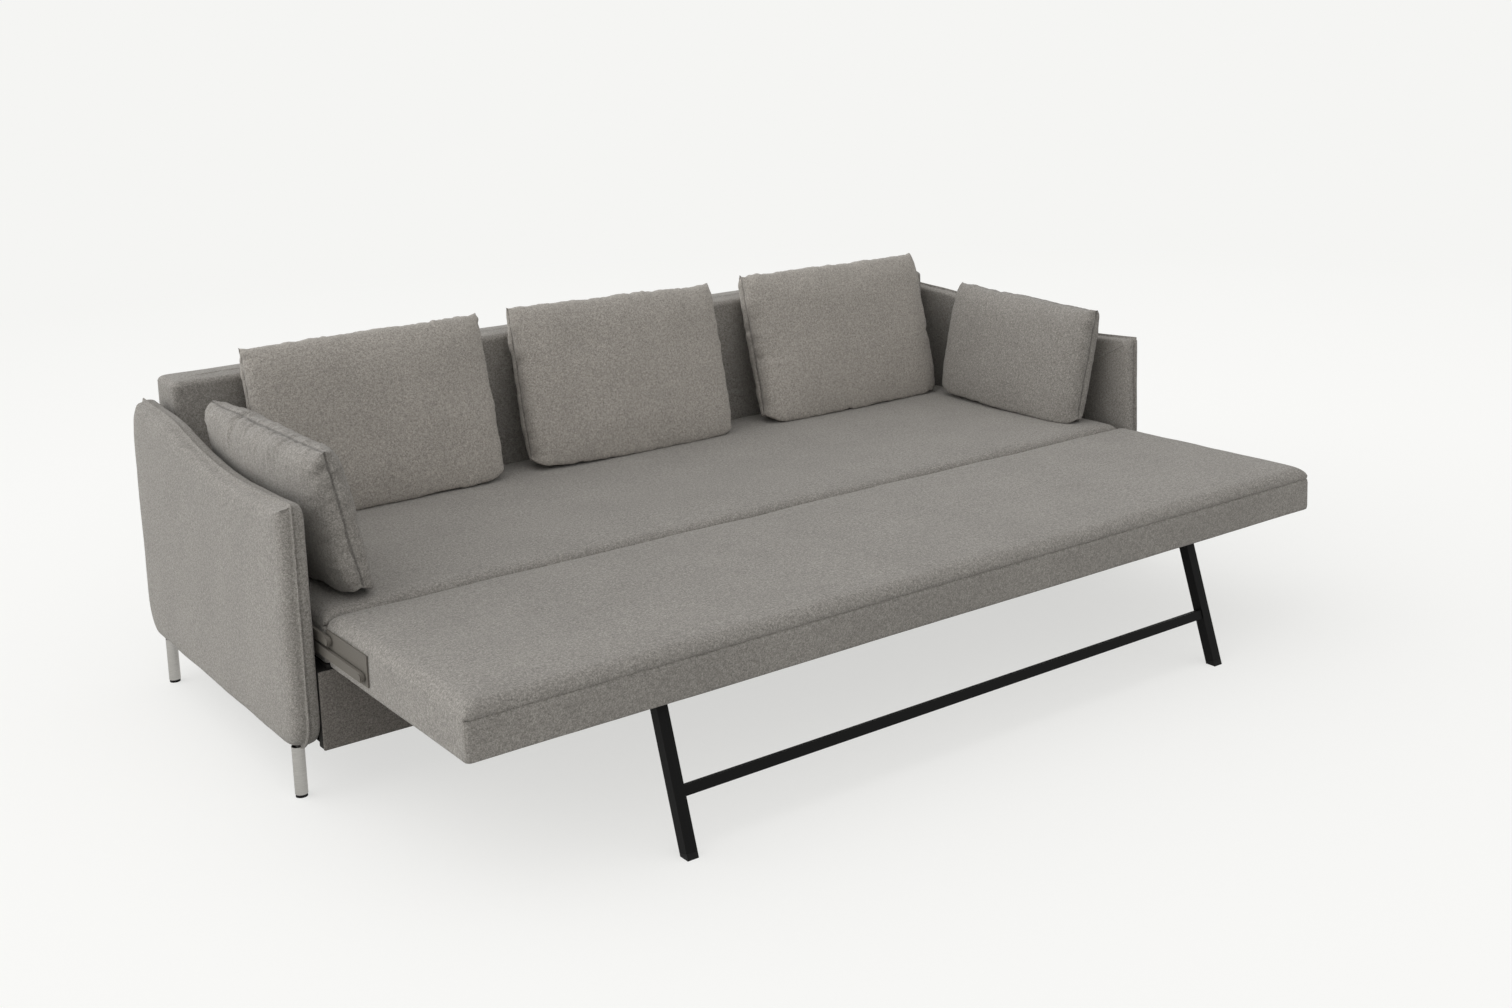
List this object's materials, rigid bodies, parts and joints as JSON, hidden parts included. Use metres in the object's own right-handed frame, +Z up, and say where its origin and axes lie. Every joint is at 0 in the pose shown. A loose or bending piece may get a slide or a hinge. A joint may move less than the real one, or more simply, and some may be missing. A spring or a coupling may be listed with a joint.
{
  "type": "sleeper sofa with pull-out bed",
  "caption": "Upholstered sofa with thin arms and steel legs; its front seat section swings out level with the seat and stands on a folding leg frame to make a bed.",
  "frame": {"origin": "on the floor, under the middle of the sofa with the bed pulled out", "axes": "+X along the length to the right seen from the front, +Y to the back of the sofa, +Z up"},
  "size_m": [2.48, 1.657, 0.8198],
  "materials": {
    "woven_fabric": "melange weave",
    "covered_rail": "melange weave",
    "stained_ply": "black stained board",
    "dust_cloth": "thin black cloth",
    "brushed_steel": "brushed",
    "black_plastic": "matte",
    "black_powder_coat": "satin black",
    "grey_powder_coat": "matt grey"
  },
  "bodies": {
    "base": {"arm_cover_left": "woven_fabric", "arm_cover_right": "woven_fabric", "arm_board_left": "stained_ply", "arm_board_right": "stained_ply", "back_cover": "woven_fabric", "back_board": "stained_ply", "front_panel": "woven_fabric", "front_rail": "stained_ply", "rear_rail": "stained_ply", "side_rail_left": "stained_ply", "side_rail_right": "stained_ply", "centre_beam": "stained_ply", "dust_cover": "dust_cloth", "rear_deck": "stained_ply", "rear_mattress": "woven_fabric", "leg_front_left": "brushed_steel", "leg_front_right": "brushed_steel", "leg_rear_left": "brushed_steel", "leg_rear_right": "brushed_steel", "glide_front_left": "black_plastic", "glide_front_right": "black_plastic", "glide_rear_left": "black_plastic", "glide_rear_right": "black_plastic", "base_plate_left": "grey_powder_coat", "base_plate_right": "grey_powder_coat", "main_base_bolt_left": "grey_powder_coat", "main_base_bolt_right": "grey_powder_coat", "guide_base_bolt_left": "grey_powder_coat", "guide_base_bolt_right": "grey_powder_coat"},
    "main_links": {"main_link_left": "grey_powder_coat", "main_link_right": "grey_powder_coat"},
    "guide_links": {"guide_link_left": "grey_powder_coat", "guide_link_right": "grey_powder_coat"},
    "front_section": {"front_mattress": "woven_fabric", "front_deck": "stained_ply", "section_rail_front": "covered_rail", "section_rail_rear": "covered_rail", "section_rail_left": "covered_rail", "section_rail_right": "covered_rail", "section_plate_left": "grey_powder_coat", "section_plate_right": "grey_powder_coat", "leg_bracket_left": "grey_powder_coat", "leg_bracket_right": "grey_powder_coat", "hinge_pin_left": "grey_powder_coat", "hinge_pin_right": "grey_powder_coat", "main_section_bolt_left": "grey_powder_coat", "main_section_bolt_right": "grey_powder_coat", "guide_section_bolt_left": "grey_powder_coat", "guide_section_bolt_right": "grey_powder_coat"},
    "leg_frame": {"bed_leg_left": "black_powder_coat", "bed_leg_right": "black_powder_coat", "foot_cap_left": "black_plastic", "foot_cap_right": "black_plastic", "crossbar": "black_powder_coat"},
    "side_cushion_left": {"side_cushion_left": "woven_fabric"},
    "side_cushion_right": {"side_cushion_right": "woven_fabric"},
    "back_cushion_left": {"back_cushion_left": "woven_fabric"},
    "back_cushion_middle": {"back_cushion_middle": "woven_fabric"},
    "back_cushion_right": {"back_cushion_right": "woven_fabric"}
  },
  "joints": [
    {"name": "bed_swing", "type": "hinge", "parent": "base", "child": "main_links", "pos_m": [0, -0.01447, 0.32], "axis": [-1, 0, 0], "range_deg": [0, 158.72]},
    {"name": "section_level", "type": "hinge", "parent": "main_links", "child": "front_section", "pos_m": [0, -0.33955, 0.32], "axis": [-1, 0, 0], "range_deg": [-158.72, 0]},
    {"name": "guide_swing", "type": "hinge", "parent": "base", "child": "guide_links", "pos_m": [0, 0.1431, 0.34778], "axis": [-1, 0, 0], "range_deg": [0, 158.72]},
    {"name": "leg_fold", "type": "hinge", "parent": "front_section", "child": "leg_frame", "pos_m": [0, -0.72147, 0.298], "axis": [1, 0, 0], "range_deg": [0, 107.5]},
    {"name": "side_cushion_left_keep", "type": "slide", "parent": "front_section", "child": "side_cushion_left", "axis": [0, -1, 0], "range_m": [0, 0.628]},
    {"name": "side_cushion_right_keep", "type": "slide", "parent": "front_section", "child": "side_cushion_right", "axis": [0, -1, 0], "range_m": [0, 0.628]},
    {"name": "back_cushion_left_lift", "type": "slide", "parent": "base", "child": "back_cushion_left", "axis": [0, 0, 1], "range_m": [0, 0.37]},
    {"name": "back_cushion_middle_lift", "type": "slide", "parent": "base", "child": "back_cushion_middle", "axis": [0, 0, 1], "range_m": [0, 0.37]},
    {"name": "back_cushion_right_lift", "type": "slide", "parent": "base", "child": "back_cushion_right", "axis": [0, 0, 1], "range_m": [0, 0.37]}
  ],
  "couplings": [
    {"joint": "section_level", "follows": "bed_swing", "ratio": -1},
    {"joint": "guide_swing", "follows": "bed_swing", "ratio": 1},
    {"joint": "leg_fold", "follows": "bed_swing", "ratio": 0.67731},
    {"joint": "side_cushion_left_keep", "follows": "bed_swing", "m_per_rad": 0.2267},
    {"joint": "side_cushion_right_keep", "follows": "bed_swing", "m_per_rad": 0.2267}
  ]
}
